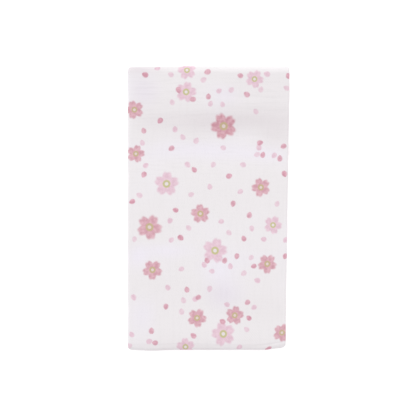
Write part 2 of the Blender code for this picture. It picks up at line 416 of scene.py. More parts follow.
rose_petal_chart = (
    # x, y, turn in degrees of the petal's notched tip
    (-44.9, 93.8, 338), (-1.0, 95.8, 20), (-21.5, 83.0, 100), (-11.5, 76.5, 10), (-34.5, 61.5, 50),
    (-46.0, 54.5, 290), (-26.5, 42.0, 35), (22.1, 93.2, 345), (56.0, 93.0, 300), (26.5, 80.0, 325),
    (-0.5, 78.5, 265), (36.0, 46.0, 195), (38.0, 37.5, 255), (52.5, 43.5, 25), (50.0, 35.0, 270),
    (-1.5, -37.0, 300), (-15.5, -57.5, 285), (-7.5, -63.0, 35), (-30.5, -69.5, 85), (-40.5, -86.5, 270),
    (-11.0, -90.0, 320), (-38.0, -95.0, 355), (19.5, -34.0, 75), (53.5, -34.0, 70), (11.0, -37.0, 250),
    (31.5, -41.0, 15), (27.0, -66.5, 35), (28.0, -77.5, 320), (9.5, -80.0, 330), (42.0, -99.2, 8),
    (-46.0, 23.5, 60), (-10.5, 27.0, 310), (14.0, 22.5, 200), (53.0, 24.0, 110), (-23.5, -1.5, 345),
    (17.0, 3.0, 80), (28.5, -5.0, 255), (-54.0, 4.5, 30), (-20.0, -21.0, 140), (24.5, -21.5, 300),
)
pale_petal_chart = (
    # x, y, turn in degrees of the petal's notched tip
    (-36.5, 98.5, 15), (-26.8, 93.9, 330), (-3.7, 90.3, 215), (-26.0, 74.5, 290), (-24.0, 55.5, 275),
    (-18.5, 50.0, 300), (-9.0, 47.5, 240), (-47.0, 46.0, 285), (40.9, 94.3, 340), (54.5, 84.5, 330),
    (36.5, 83.5, 250), (15.7, 83.2, 225), (7.0, 82.5, 215), (1.0, 73.5, 250), (9.5, 73.0, 290),
    (33.0, 68.0, 305), (10.0, 42.5, 345), (35.2, 42.8, 280), (33.9, 37.7, 20), (46.0, 37.0, 50),
    (-19.5, -43.0, 25), (-3.5, -40.0, 300), (-29.0, -56.0, 300), (-53.0, -63.0, 110), (-18.0, -65.0, 290),
    (-9.5, -64.0, 215), (-19.5, -73.0, 280), (-54.4, -89.1, 295), (-56.2, -97.1, 200), (-42.0, -94.0, 200),
    (29.5, -35.0, 45), (15.0, -41.0, 280), (2.0, -44.5, 355), (24.5, -46.0, 40), (34.0, -51.0, 340),
    (0.5, -57.0, 80), (12.5, -68.0, 340), (31.5, -70.0, 35), (26.5, -85.5, 320), (21.5, -98.0, 20),
    (-15.0, 30.5, 130), (3.0, 30.5, 60), (24.0, 30.5, 350), (-44.5, 30.0, 215), (0.5, 15.0, 285),
    (22.0, 11.5, 30), (-12.5, 9.5, 200), (-49.0, 9.0, 330), (48.0, 3.0, 250), (8.5, -9.5, 15),
    (30.0, -14.5, 100), (-27.5, -9.0, 60), (-14.5, -14.0, 310), (-52.5, -22.0, 80), (-26.5, -22.5, 230),
    (14.0, -17.5, 140), (38.5, -22.0, 345), (54.0, -22.5, 50),
)


def on_cloth(x, y):
    """The place on the print, in millimetres, that settles into a place of the chart."""
    place = before_settling(x / 1000 + CHART_MIDDLE[0], y / 1000 + CHART_MIDDLE[1])
    return [float(part) * 1000 for part in place]


def charted(petals, reach):
    """Petals of the chart as rows of (x, y, reach, turn, tint), in millimetres and radians."""
    draw = np.random.default_rng(len(petals))
    return [
        (*on_cloth(x, y), reach * draw.uniform(LEAST_REACH, MOST_REACH), math.radians(turn), draw.random())
        for x, y, turn in petals
    ]


blossoms = [(*on_cloth(x, y), width / 2, math.radians(turn), colour)
            for x, y, width, turn, colour in blossom_chart]
rose_petals = charted(rose_petal_chart, ROSE_PETAL_REACH)
pale_petals = charted(pale_petal_chart, PALE_PETAL_REACH)
print("charted:", len(blossoms), "blossoms and", len(rose_petals) + len(pale_petals), "loose petals")

# %% Fill the rest of the repeat
CHARTED_HALF_WIDTH, CHARTED_HALF_LENGTH = 58.0, 101.0
REPEAT = np.array([REPEAT_WIDTH, REPEAT_LENGTH]) * 1000
LEAST_CLEARANCE = 1.0
MORE_BLOSSOMS, MORE_ROSE_PETALS, MORE_PALE_PETALS = 12, 26, 34
BLOSSOM_REACHES = (6.3, 6.5, 8.5)
PETAL_REACHES = (2.0, 2.2)
ROSE_SHARE = 0.55
SCATTER_SEED = 23
scatter = np.random.default_rng(SCATTER_SEED)


def wrapped(offset, repeat):
    """An offset on the print, taken to the nearest repeat."""
    return (offset + repeat / 2) % repeat - repeat / 2


def scattered(count, existing, reaches, tint):
    """That many more motifs outside the chart, clear of all that exist."""
    added = []
    while len(added) < count:
        place = (scatter.random(2) - 0.5) * REPEAT
        reach = scatter.choice(reaches)
        if abs(place[0]) < CHARTED_HALF_WIDTH + reach and abs(place[1]) < CHARTED_HALF_LENGTH + reach:
            continue
        others = np.array([other[:3] for other in existing + added])
        clearances = np.linalg.norm(wrapped(place - others[:, :2], REPEAT), axis=1) - others[:, 2] - reach
        if clearances.min() > LEAST_CLEARANCE:
            added.append((*place, reach, scatter.uniform(0, 2 * math.pi), tint(scatter)))
    return added


def rose_or_pale(draw):
    return float(draw.random() < ROSE_SHARE)


def any_tint(draw):
    return draw.random()


blossoms += scattered(MORE_BLOSSOMS, blossoms, BLOSSOM_REACHES, rose_or_pale)
rose_petals += scattered(MORE_ROSE_PETALS, blossoms + rose_petals, PETAL_REACHES, any_tint)
pale_petals += scattered(MORE_PALE_PETALS, blossoms + rose_petals + pale_petals, PETAL_REACHES, any_tint)
print("one repeat:", len(blossoms), "blossoms and", len(rose_petals) + len(pale_petals), "loose petals")

# %% [markdown]
# A shader could test every point against every motif, but with more than a hundred of them that is slow. So
# each small face of the cloth is told which motif is nearest, and its corners store their place in that
# motif's own frame: 0 at its middle, 1 at its rim, turned as the motif is turned. The material then needs to
# know how to draw one blossom and one petal, and its outlines stay smooth however coarse the faces are.

# %% Tell each face its nearest motif
FAR_AWAY = (9.0, 9.0, 0.0)
CLAIMED_REACH = 1.5


def in_motif_frames(motifs, corner_x, corner_y):
    """For corners of faces as arrays of (face, corner): their place in the nearest motif's frame, and its
    tint as the third number."""
    motifs = np.array(motifs)
    middle = np.stack([corner_x.mean(axis=1), corner_y.mean(axis=1)], axis=1) * 1000
    offsets = wrapped(middle[:, None, :] - motifs[None, :, :2], REPEAT)
    ranks = np.linalg.norm(offsets, axis=2) / motifs[None, :, 2]
    nearest = ranks.argmin(axis=1)
    every = np.arange(len(nearest))
    _, _, reach, turn, tint = motifs[nearest].T
    from_middle = np.stack([corner_x, corner_y], axis=2) * 1000 - middle[:, None, :]
    local = (offsets[every, nearest][:, None, :] + from_middle) / reach[:, None, None]
    turned_x = local[..., 0] * np.cos(turn)[:, None] + local[..., 1] * np.sin(turn)[:, None]
    turned_y = local[..., 1] * np.cos(turn)[:, None] - local[..., 0] * np.sin(turn)[:, None]
    places = np.stack([turned_x, turned_y, np.repeat(tint[:, None], local.shape[1], axis=1)], axis=2)
    places[ranks[every, nearest] > CLAIMED_REACH] = FAR_AWAY
    return places


def cell_corners(grid):
    """The four corners of each cell of a grid, as an array of (cell, corner)."""
    cells = np.stack([grid[:-1, :-1], grid[:-1, 1:], grid[1:, 1:], grid[1:, :-1]], axis=2)
    return cells.reshape(-1, 4)


cell_x, cell_y = cell_corners(print_x), cell_corners(print_y)
motif_layers = {
    "blossom": in_motif_frames(blossoms, cell_x, cell_y),
    "rose_petal": in_motif_frames(rose_petals, cell_x, cell_y),
    "pale_petal": in_motif_frames(pale_petals, cell_x, cell_y),
}
near_blossom = motif_layers["blossom"][:, 0, 0] != FAR_AWAY[0]
print("faces near a blossom:", int(near_blossom.sum()), "of", len(cell_x))

# %% Make the flat cloth's mesh
SHOW_THROUGH = 0.35
BAKE_GAP = 0.01


def flat_cloth():
    """The printed and hemmed cut, lying flat, with the grid's places as its x and y."""
    count = flat_s.size
    top = np.stack([flat_s, flat_t, half_thickness], axis=2).reshape(-1, 3)
    points = np.concatenate([top, top * (1, 1, -1)])
    grid = np.arange(count).reshape(flat_s.shape)
    cells = cell_corners(grid)
    rim = np.concatenate([grid[0, :-1], grid[:-1, -1], grid[-1, :0:-1], grid[:0:-1, 0]])
    after = np.roll(rim, -1)
    edge = np.stack([rim, rim + count, after + count, after], axis=1)
    faces = np.concatenate([cells, cells[:, ::-1] + count, edge])
    mesh = bpy.data.meshes.new("flat_cloth")
    mesh.from_pydata(points.tolist(), [], faces.tolist())
    print_places = np.stack([print_x.ravel(), print_y.ravel()], axis=1)
    store_layers(mesh, faces, count, len(cells), print_places)
    return mesh


def store_layers(mesh, faces, count, cells, print_places):
    """Stores what the cloth's material reads, for each corner of each face."""
    corners = faces.ravel()
    reverse = corners >= count
    for_print = mesh.uv_layers.new(name="cloth")
    for_print.data.foreach_set("uv", print_places[corners % count].ravel())
    laid_out = np.stack([flat_s.ravel(), flat_t.ravel()], axis=1)[corners % count]
    laid_out[:, 0] += reverse * (CUT_WIDTH + BAKE_GAP)
    for_baking = mesh.uv_layers.new(name="OFBake")
    for_baking.data.foreach_set("uv", (laid_out / (CUT_LENGTH + BAKE_GAP)).ravel())
    for name, places in motif_layers.items():
        layer = mesh.attributes.new(name, "FLOAT_VECTOR", "CORNER")
        around = np.tile(FAR_AWAY, (len(corners) - 8 * cells, 1))
        values = np.concatenate([places.reshape(-1, 3), places[:, ::-1].reshape(-1, 3), around])
        layer.data.foreach_set("vector", values.ravel())
    ink = mesh.attributes.new("ink", "FLOAT", "FACE")
    strength = np.full(len(faces), 1.0)
    strength[cells:] = SHOW_THROUGH
    ink.data.foreach_set("value", strength)


cloth_mesh = flat_cloth()
print("the flat cloth has", len(cloth_mesh.polygons), "faces")

# %% [markdown]
# A node tree is easier to read as a formula than as a list of nodes and links. The small class below wraps
# one output socket, so that arithmetic on it adds Math nodes. One method adds every other kind of node.
# It serves the Geometry Nodes trees and the materials alike.

# %% Write node trees as formulas


class Field:
    """A quantity that varies over a surface or a shape: one output socket of a node."""

    def __init__(self, tree, socket=None):
        self.tree = tree
        self.socket = socket

    def node(self, kind, settings=None, values=None, output=0):
        """Adds a node, sets its settings first and then its inputs, and wraps one of its outputs."""
        made = self.tree.nodes.new(kind)
        for name, setting in (settings or {}).items():
            setattr(made, name, setting)
        for name, value in (values or {}).items():
            if isinstance(value, Field):
                self.tree.links.new(value.socket, made.inputs[name])
            else:
                made.inputs[name].default_value = value
        return Field(self.tree, made.outputs[output] if made.outputs else None)

    def output(self, name):
        """Another output of the same node."""
        return Field(self.tree, self.socket.node.outputs[name])

    def math(self, operation, *others):
        return self.node("ShaderNodeMath", {"operation": operation}, dict(enumerate((self, *others))))

    def __add__(self, other):
        return self.math("ADD", other)

    def __sub__(self, other):
        return self.math("SUBTRACT", other)

    def __rsub__(self, other):
        return self.node("ShaderNodeMath", {"operation": "SUBTRACT"}, {0: other, 1: self})

    def __mul__(self, other):
        return self.math("MULTIPLY", other)

    def __truediv__(self, other):
        return self.math("DIVIDE", other)

    def __pow__(self, other):
        return self.math("POWER", other)

    def __abs__(self):
        return self.math("ABSOLUTE")

    __radd__ = __add__
    __rmul__ = __mul__

    def step(self, low, high):
        """0 below low and 1 above high, with a soft step between them."""
        values = {"Value": self, "From Min": low, "From Max": high}
        return self.node("ShaderNodeMapRange", {"interpolation_type": "SMOOTHSTEP"}, values)


def separated(vector):
    """The three numbers of a vector."""
    parts = vector.node("ShaderNodeSeparateXYZ", values={0: vector})
    return parts, parts.output("Y"), parts.output("Z")


print("formulas can be written with", Field.__name__)

# %% [markdown]
# Folding is a rule, so Geometry Nodes does it. Every point of the flat cloth knows how far across and along
# it lies. The tree looks up the distance across on one path, which gives a place in the folded strip, and
# then the distance along on the other path, which carries the strip round the stack.
# Because it is a tree and not a one-off calculation, the same one folds the sewing thread with the cloth.

# %% The two paths as lines with how the cloth lies on them


def path_line(name, points, lies):
    """A line of vertices, each with a vector that says how the cloth lies there."""
    mesh = bpy.data.meshes.new(name)
    mesh.from_pydata(points.tolist(), [(count, count + 1) for count in range(len(points) - 1)], [])
    mesh.attributes.new("lie", "FLOAT_VECTOR", "POINT").data.foreach_set("vector", lies.ravel())
    line = bpy.data.objects.new(name, mesh)
    bpy.context.scene.collection.objects.link(line)
    return line


level = np.zeros(len(across_places))
path_across = path_line(
    "path_across",
    np.stack([across_places[:, 0], level, across_places[:, 1]], axis=1),
    np.stack([follows_selvedge, level, level], axis=1),
)
path_along = path_line(
    "path_along",
    np.stack([np.zeros(len(along_places)), along_places[:, 0], along_places[:, 1]], axis=1),
    np.stack([width_share, sideways, selvedge_wander], axis=1),
)
print("the paths have", len(across_places), "and", len(along_places), "places")

# %% The tree that folds


def new_tree(name, inputs):
    """A Geometry Nodes tree with these named inputs, and its starting field."""
    tree = bpy.data.node_groups.new(name, "GeometryNodeTree")
    tree.interface.new_socket("Result", in_out="OUTPUT", socket_type="NodeSocketGeometry")
    for label, kind in inputs.items():
        tree.interface.new_socket(label, in_out="INPUT", socket_type="NodeSocket" + kind)
    return Field(tree).node("NodeGroupInput")


def finish_tree(geometry, finish):
    """Ends a tree: what it made is real mesh with its finish on it."""
    real = geometry.node("GeometryNodeRealizeInstances", values={0: geometry})
    finished = real.node("GeometryNodeSetMaterial", values={"Geometry": real, "Material": finish})
    finished.node("NodeGroupOutput", values={0: finished})
    return finished.tree


def looked_up(path, length):
    """Place, direction and lie of the cloth, this far along a path."""
    line = path.node("GeometryNodeObjectInfo", values={"Object": path}, output="Geometry")
    curve = line.node("GeometryNodeMeshToCurve", values={"Mesh": line})
    lie = curve.node("GeometryNodeInputNamedAttribute", {"data_type": "FLOAT_VECTOR"}, {"Name": "lie"})
    found = curve.node(
        "GeometryNodeSampleCurve",
        {"data_type": "FLOAT_VECTOR", "mode": "LENGTH"},
        {"Curves": curve, "Value": lie, "Length": length},
    )
    return [separated(vector) for vector in (found.output("Position"), found.output("Tangent"), found)]


def fold_tree():
    """Carries each point of what lies on the flat cloth across and then along, height and all."""
    start = new_tree("Fold the cloth", {
        "Cloth": "Geometry", "Path across": "Object", "Path along": "Object", "Finish": "Material",
    })
    place = start.node("GeometryNodeInputPosition")
    across, along, above = separated(place)
    (x, _, out), (x_way, _, out_way), (slide, _, _) = looked_up(start.output("Path across"), across)
    x = x + above * out_way
    out = out - above * x_way
    (_, y, z), (_, y_way, z_way), (share, shift, wander) = looked_up(start.output("Path along"), along)
    x = (x + wander * slide) * share + shift
    y = y + out * z_way
    z = z - out * y_way
    new_place = start.node("ShaderNodeCombineXYZ", values={"X": x, "Y": y, "Z": z})
    cloth = start.output("Cloth")
    moved = start.node("GeometryNodeSetPosition", values={"Geometry": cloth, "Position": new_place})
    return finish_tree(moved, start.output("Finish"))


def run_tree(piece, tree, inputs):
    """Adds a tree to a piece as a modifier, with its named inputs set by their identifiers."""
    modifier = piece.modifiers.new(tree.name, "NODES")
    modifier.node_group = tree
    for item in tree.interface.items_tree:
        if item.in_out == "INPUT" and item.name in inputs:
            modifier[item.identifier] = inputs[item.name]


def made_real(piece):
    """The piece's evaluated mesh takes the place of its own, and its modifiers go."""
    graph = bpy.context.evaluated_depsgraph_get()
    evaluated = piece.evaluated_get(graph)
    mesh = bpy.data.meshes.new_from_object(evaluated, preserve_all_data_layers=True, depsgraph=graph)
    piece.modifiers.clear()
    piece.data = mesh
    return piece


FOLD = fold_tree()
print("the folding tree has", len(FOLD.nodes), "nodes")

# %% Fold the printed cloth
printed_gauze = bpy.data.materials.new("printed_gauze")
hem_thread = bpy.data.materials.new("hem_thread")


def new_piece(name, mesh):
    """A mesh in the scene, under a name."""
    piece = bpy.data.objects.new(name, mesh)
    bpy.context.scene.collection.objects.link(piece)
    return piece


def folded(piece, finish):
    """The piece folded as the cloth is, with this finish on it."""
    run_tree(piece, FOLD, {"Path across": path_across, "Path along": path_along, "Finish": finish})
    return made_real(piece)


towel = folded(new_piece("folded_towel", cloth_mesh), printed_gauze)
print("folded:", [round(float(side), 4) for side in towel.dimensions])

# %% [markdown]
# The hems are sewn with a running stitch, and the weft turns back along each woven edge in tiny loops. Both
# repeat many times along a line, so a tree for each sets a small thread shape at even steps along that line.
# The lines lie on the flat cloth, and the folding tree then carries stitches and loops round with it.

# %% The trees that sew
THREAD_WIDTH = 0.00026
STITCH_PITCH = 0.0029
STITCH_LENGTH = 0.0021
STITCH_FROM_END = 0.0056
STITCH_FROM_SIDE = 0.0015
STITCH_DIP, STITCH_ARCH = -0.6, 0.9  # how low its ends and how high its middle pulls, in thread widths
STITCH_STEPS, LOOP_STEPS, THREAD_SIDES = 5, 6, 6
WEFT_PITCH_AT_EDGE = 0.0016
WEFT_LOOP_REACH = 0.00032


def set_along(line, pitch, shape):
    """Copies of a shape at even steps along a line, each turned to run with it."""
    curve = line.node("GeometryNodeMeshToCurve", values={"Mesh": line})
    even = curve.node("GeometryNodeResampleCurve", {"mode": "LENGTH"}, {"Curve": curve, "Length": pitch})
    way = even.node("GeometryNodeInputTangent")
    turned = way.node("FunctionNodeAlignRotationToVector", {"axis": "X"}, {"Vector": way})
    placed = {"Points": even, "Instance": shape, "Rotation": turned}
    return even.node("GeometryNodeInstanceOnPoints", values=placed)


def thread_round(path, width):
    """A thread of this width along a curve."""
    size = {"Resolution": THREAD_SIDES, "Radius": width / 2}
    ring = path.node("GeometryNodeCurvePrimitiveCircle", values=size)
    swept = {"Curve": path, "Profile Curve": ring, "Fill Caps": True}
    return path.node("GeometryNodeCurveToMesh", values=swept)


def stitch_tree():
    """Each stitch is a low arch whose two ends go down into the cloth."""
    start = new_tree("Sew a running stitch", {
        "Line": "Geometry", "Pitch": "Float", "Length": "Float",
        "Thread width": "Float", "Finish": "Material",
    })
    half, width = start.output("Length") / 2, start.output("Thread width")
    left = start.node("ShaderNodeCombineXYZ", values={"X": half * -1, "Z": width * STITCH_DIP})
    top = start.node("ShaderNodeCombineXYZ", values={"Z": width * STITCH_ARCH})
    right = start.node("ShaderNodeCombineXYZ", values={"X": half, "Z": width * STITCH_DIP})
    route = {"Resolution": STITCH_STEPS, "Start": left, "Middle": top, "End": right}
    shape = thread_round(start.node("GeometryNodeCurveQuadraticBezier", values=route), width)
    return finish_tree(set_along(start.output("Line"), start.output("Pitch"), shape), start.output("Finish"))


def weft_turn_tree():
    """Each turn of the weft is half a ring that stands out from the woven edge."""
    start = new_tree("Turn the weft back", {
        "Line": "Geometry", "Pitch": "Float", "Reach": "Float",
        "Thread width": "Float", "Finish": "Material",
    })
    route = {"Resolution": LOOP_STEPS, "Radius": start.output("Reach"), "Sweep Angle": math.pi}
    shape = thread_round(start.node("GeometryNodeCurveArc", values=route), start.output("Thread width"))
    return finish_tree(set_along(start.output("Line"), start.output("Pitch"), shape), start.output("Finish"))


STITCH, WEFT_TURN = stitch_tree(), weft_turn_tree()
print("two sewing trees, with", len(STITCH.nodes), "and", len(WEFT_TURN.nodes), "nodes")

# %% Sew the hems and turn the weft back, on the flat cloth
FREE_EDGE = float(CUT_WIDTH)


def flat_line(name, first, last, steps=2):
    """A straight line of vertices on the flat cloth."""
    points = np.linspace(first, last, steps)
    mesh = bpy.data.meshes.new(name)
    mesh.from_pydata(points.tolist(), [(count, count + 1) for count in range(steps - 1)], [])
    return mesh


def sewn(name, line, tree, inputs):
    """What a sewing tree makes along a flat line, folded with the cloth."""
    piece = new_piece(name, line)
    run_tree(piece, tree, {**inputs, "Finish": hem_thread})
    return folded(piece, hem_thread)


hem_top = HALF_CLOTH + HEM_RISE
last_stitch = FREE_EDGE - STITCH_FROM_SIDE
stitch_inputs = {"Pitch": STITCH_PITCH, "Length": STITCH_LENGTH, "Thread width": THREAD_WIDTH}
threads = []
for end, along in (("under", STITCH_FROM_END), ("inside", float(CUT_LENGTH) - STITCH_FROM_END)):
    for face, above in (("printed", hem_top), ("reverse", -hem_top)):
        line = flat_line("stitch_line", (STITCH_FROM_SIDE, along, above), (last_stitch, along, above))
        threads.append(sewn(f"stitches_{end}_{face}", line, STITCH, stitch_inputs))
loop_inputs = {"Pitch": WEFT_PITCH_AT_EDGE, "Reach": WEFT_LOOP_REACH, "Thread width": THREAD_WIDTH}
edge_line = flat_line("edge_line", (FREE_EDGE, CUT_LENGTH, 0), (FREE_EDGE, 0, 0))
threads.append(sewn("weft_turns", edge_line, WEFT_TURN, loop_inputs))
print("sewn:", {piece.name: len(piece.data.polygons) for piece in threads})

# %% [markdown]
# Now the settling worked out earlier acts on the cloth and on its threads alike. The whole towel is then
# shifted, by a fraction of a millimetre, to lie where the plain solid of the frame lies.

# %% Let the folded towel settle


def points_of(piece):
    """The places of a piece's points, one to a row."""
    flat = np.empty(3 * len(piece.data.vertices))
    piece.data.vertices.foreach_get("co", flat)
    return flat.reshape(-1, 3)


towel_points = settled(points_of(towel))
low, high = towel_points.min(axis=0), towel_points.max(axis=0)
into_place = (CAD_LOW + CAD_HIGH - low - high) / 2
into_place[2] = CAD_LOW[2] - low[2]
for piece in (towel, *threads):
    piece.data.vertices.foreach_set("co", (settled(points_of(piece)) + into_place).ravel())
    piece.data.update()
    piece.data.shade_smooth()
print("settled:", [round(float(side), 4) for side in high - low])

# %% [markdown]
# The print is drawn by formulas in each motif's own frame. A blossom is five lobes round a ring: its outline
# is a reach that depends only on the angle from the nearest petal's middle, with a notch at that middle.
# A loose petal is a leaf shape whose half width depends on how far along it lies.
# Ink soaks into gauze, so the outlines have a soft edge and the colour inside them is uneven.

# %% Draw one blossom and one petal
PETAL_HALF_ANGLE = math.pi / 5
PETAL_TIP = 1.02
VALLEY_DEPTH, VALLEY_START, VALLEY_END = 0.33, 0.30, 1.10
NOTCH_DEPTH, NOTCH_END = 0.06, 0.28
INK_BLEED = 0.145
RING_START, RING_END, EYE_END = (0.12, 0.19), (0.275, 0.385), (0.11, 0.18)  # where each soft step runs

LOOSE_TAIL, LOOSE_TIP = 0.62, 0.5  # how fast it widens from its tail, and narrows to its tip
LOOSE_FULLNESS = 0.95
LOOSE_BLEED = 0.25
LOOSE_NOTCH_PLACE, LOOSE_NOTCH_DEPTH, LOOSE_NOTCH_END = 0.84, 0.18, 0.35


def blossom_masks(place):
    """Where the petals, the ring of stamens and the pale eye of a blossom are."""
    x, y, _ = separated(place)
    reach = (x * x + y * y) ** 0.5
    angle = y.node("ShaderNodeMath", {"operation": "ARCTAN2"}, {0: y, 1: x})
    from_petal = abs(angle.math("WRAP", PETAL_HALF_ANGLE, -PETAL_HALF_ANGLE)) / PETAL_HALF_ANGLE
    outline = PETAL_TIP - VALLEY_DEPTH * from_petal.step(VALLEY_START, VALLEY_END)
    outline = outline - NOTCH_DEPTH * (1 - from_petal.step(0.0, NOTCH_END))
    petals = (outline - reach).step(-INK_BLEED, INK_BLEED)
    ring = reach.step(*RING_START) * (1 - reach.step(*RING_END))
    return petals, ring, 1 - reach.step(*EYE_END)


def petal_mask(place, faintest, strongest):
    """How much ink a loose petal has: narrow at its tail, notched at its tip, and of its own strength."""
    along, beside, own = separated(place)
    beside = abs(beside)
    tail = (1 + along).math("MAXIMUM", 0.0) ** LOOSE_TAIL
    tip = (1 - along).math("MAXIMUM", 0.0) ** LOOSE_TIP
    inside = (LOOSE_FULLNESS * tail * tip - LOOSE_BLEED - beside).step(-LOOSE_BLEED, LOOSE_BLEED)
    notch = LOOSE_NOTCH_PLACE + LOOSE_NOTCH_DEPTH * beside.step(0.0, LOOSE_NOTCH_END) - along
    return inside * notch.step(-LOOSE_BLEED, LOOSE_BLEED) * (faintest + (strongest - faintest) * own)


# %% [markdown]
# The inks, the bare gauze, its soft patches of tone and its patches of painted shade and painted highlight
# were set by comparing the render's mean colour with the photo's in about thirty spots, and changing the
# values until most agreed closely. So they hold for this light alone. Each ink has a light and a full
# colour, because gauze takes it up unevenly.

# %% The colours of cloth and ink


def ink(red, green, blue):
    """A screen colour, 0 to 255, turned into the light that the dyed cloth gives back."""
    # the screen's own standard curve, undone
    return (*[((part / 255 + 0.055) / 1.055) ** 2.4 for part in (red, green, blue)], 1.0)


CLOTH_PLAIN = ink(241, 237, 239)
CLOTH_COOL = ink(243, 238, 248)
# the dark mauve that painted shade mixes towards
SHADE_TINT = (0.20, 0.02, 0.10, 1.0)
ROSE_INK = ink(213, 163, 175)
ROSE_LIGHT = ink(231, 190, 200)
LOOSE_ROSE_INK = ink(214, 161, 176)
LOOSE_ROSE_LIGHT = ink(232, 188, 201)
PALE_INK = ink(229, 197, 211)
PALE_LIGHT = ink(239, 211, 223)
STAMEN_ON_PALE = ink(205, 200, 152)
STAMEN_ON_ROSE = ink(203, 186, 148)
EYE_ON_PALE = ink(235, 229, 229)
EYE_ON_ROSE = ink(229, 216, 210)
THREAD_DULL, THREAD_BRIGHT = ink(232, 226, 230), ink(244, 240, 244)
BLACK = (0.0, 0.0, 0.0, 1.0)
PALE_STRENGTH = (0.76, 1.0)  # the faintest and the strongest loose petal
ROSE_STRENGTH = (0.92, 1.1)
UNEVEN_SCALE, UNEVEN_COOL, UNEVEN_SHADE = 22.0, 0.9, -0.7

# The shade column is painted shade: darker in the troughs of the upper face, in soft spots on the lower
# half, at the upper left corner and along the lower roll. Below 0 it is painted highlight, on the upper roll
# and along the left edge.
tone_and_painted_shade_patches = (
    # x, y, reach along x, reach along y in millimetres, how cool, how much painted shade (below 0, painted
    # highlight)
    (-46, 82, 10, 12, 0.6, 0.8),
    (-50, 98.5, 16, 3, 0.0, 2.0),
    (-57, 72, 4, 26, 0.2, -0.5),
    (34, 101, 50, 4, 0.0, -0.8),
    (12, 80, 10, 7, 0.6, 0.2),
    (34, 63, 32, 9, 0.0, 1.15),
    (-6, 61, 30, 8, 0.0, 1.25),
    (-38, 62, 12, 5, 0.0, 0.6),
    (48, 50, 12, 9, 0.0, 0.8),
    (34, 88, 26, 8, 0.0, 0.4),
    (-8, 41, 36, 7, 0.7, 0.0),
    (38, 38, 18, 5, 0.5, 0.0),
    (-50, -34, 8, 8, 0.8, 0.0),
    (-30, -30, 16, 5, 0.7, 0.0),
    (8, -44, 15, 9, 0.6, 0.0),
    (11, -61, 13, 10, 0.7, 1.1),
    (-46, -77, 9, 14, 0.6, 0.1),
    (30, -36, 22, 6, 0.3, 0.0),
    (42, -66, 15, 12, 0.0, 0.3),
    (-34, -57, 16, 12, 0.0, 0.3),
    (0, -97, 70, 4, 0.0, 0.6),
    (-6, -102.5, 56, 2.6, 0.0, 3.2),
)


def mixed(share, first, second, clamped=True):
    """One colour blended over another by a share that varies, or beyond it where that isn't clamped."""
    settings = {"data_type": "RGBA", "clamp_factor": clamped}
    return share.node("ShaderNodeMix", settings, {0: share, 6: first, 7: second}, output=2)


def darkened(colour, share):
    """A colour with this varying share of its light taken away."""
    return mixed(share, colour, BLACK)


def noise(vector, scale, detail=2.0, output="Fac"):
    """Smooth noise, about 0.5 on the whole."""
    made = vector.node("ShaderNodeTexNoise", values={"Vector": vector, "Scale": scale, "Detail": detail})
    return made.output(output)


def stretched(vector, x, y):
    """The same place with each way scaled by its own number, which stretches a pattern."""
    return vector.node("ShaderNodeVectorMath", {"operation": "MULTIPLY"}, {0: vector, 1: (x, y, 1.0)})


def tone_and_painted_shade(cloth):
    """How cool the bare gauze is at each place, and how much painted shade it has, with painted highlight
    below 0 and some random unevenness.
    """
    x, y, _ = separated(cloth)
    unevenness = noise(cloth, UNEVEN_SCALE) - 0.5
    cool, shade = unevenness * UNEVEN_COOL, unevenness * UNEVEN_SHADE
    for middle_x, middle_y, reach_x, reach_y, coolness, darkness in tone_and_painted_shade_patches:
        from_x = (x * 1000 - middle_x) / reach_x
        from_y = (y * 1000 - middle_y) / reach_y
        nearness = ((from_x * from_x + from_y * from_y) * -1).math("EXPONENT")
        cool = cool + coolness * nearness
        shade = shade + darkness * nearness
    return cool, shade


# the patches give the gauze its tone, its painted shade and its painted highlight
print("the bare gauze has", len(tone_and_painted_shade_patches), "soft patches of tone")

# %% The printed gauze
WARP_PITCH = 0.00085
WEFT_PITCH = 0.00100
THREAD_HEIGHT, CROSSING_HEIGHT, SLUB_HEIGHT = 0.25, 0.25, 0.5  # shares of the bump's whole depth
SLUB_SCALE = 900.0
WEAVE_STRENGTH, WEAVE_DEPTH = 0.35, 0.0002
STREAK_DEPTH = 0.035
WEFT_STRETCH, WARP_STRETCH, PATCH_SCALE = (55.0, 640.0), (420.0, 60.0), 30.0
WEFT_STEP, WARP_STEP, PATCH_STEP = (0.42, 0.72), (0.45, 0.75), (0.35, 0.65)
WEFT_PLAIN, WEFT_MORE_IF_RIBBED = 0.25, 0.75
WARP_PLAIN, WARP_LESS_IF_RIBBED = 0.45, 0.30
UPPER_HALF = (0.0, 0.05)
# how far a share of 1 of painted shade darkens the colour
SHADE_DEPTH = 0.064
TAKEN_UP_SCALE, TAKEN_UP_DETAIL, TAKEN_UP_STEP = 420.0, 3.0, (0.30, 0.72)
TWIST_SCALE, TWIST_STRENGTH, TWIST_DEPTH = 900.0, 0.3, 0.0001


def woven_height(cloth):
    """The height of the weave: threads crossing over and under, and thicker slubs here and there."""
    across, along, _ = separated(cloth)
    warp = (across * (math.pi / WARP_PITCH)).math("SINE")
    weft = (along * (math.pi / WEFT_PITCH)).math("SINE")
    weave = 0.5 + THREAD_HEIGHT * (abs(warp) + abs(weft)) + CROSSING_HEIGHT * warp * weft
    return weave + SLUB_HEIGHT * noise(cloth, SLUB_SCALE)


def thread_streaks(cloth):
    """Faint lines where threads lie closer or thicker. Along the weft they are strongest in patches of the
    upper half, and there the lines along the warp are faintest."""
    _, along, _ = separated(cloth)
    weft = noise(stretched(cloth, *WEFT_STRETCH), 1.0).step(*WEFT_STEP)
    warp = noise(stretched(cloth, *WARP_STRETCH), 1.0).step(*WARP_STEP)
    ribbed = along.step(*UPPER_HALF) * noise(cloth, PATCH_SCALE).step(*PATCH_STEP)
    weft_share = WEFT_PLAIN + WEFT_MORE_IF_RIBBED * ribbed
    return weft * weft_share + warp * (WARP_PLAIN - WARP_LESS_IF_RIBBED * ribbed)


def place_in(root, layer):
    """Each point's place in its nearest motif's own frame, as the cloth's mesh stores it."""
    return root.node("ShaderNodeAttribute", {"attribute_name": layer}).output("Vector")


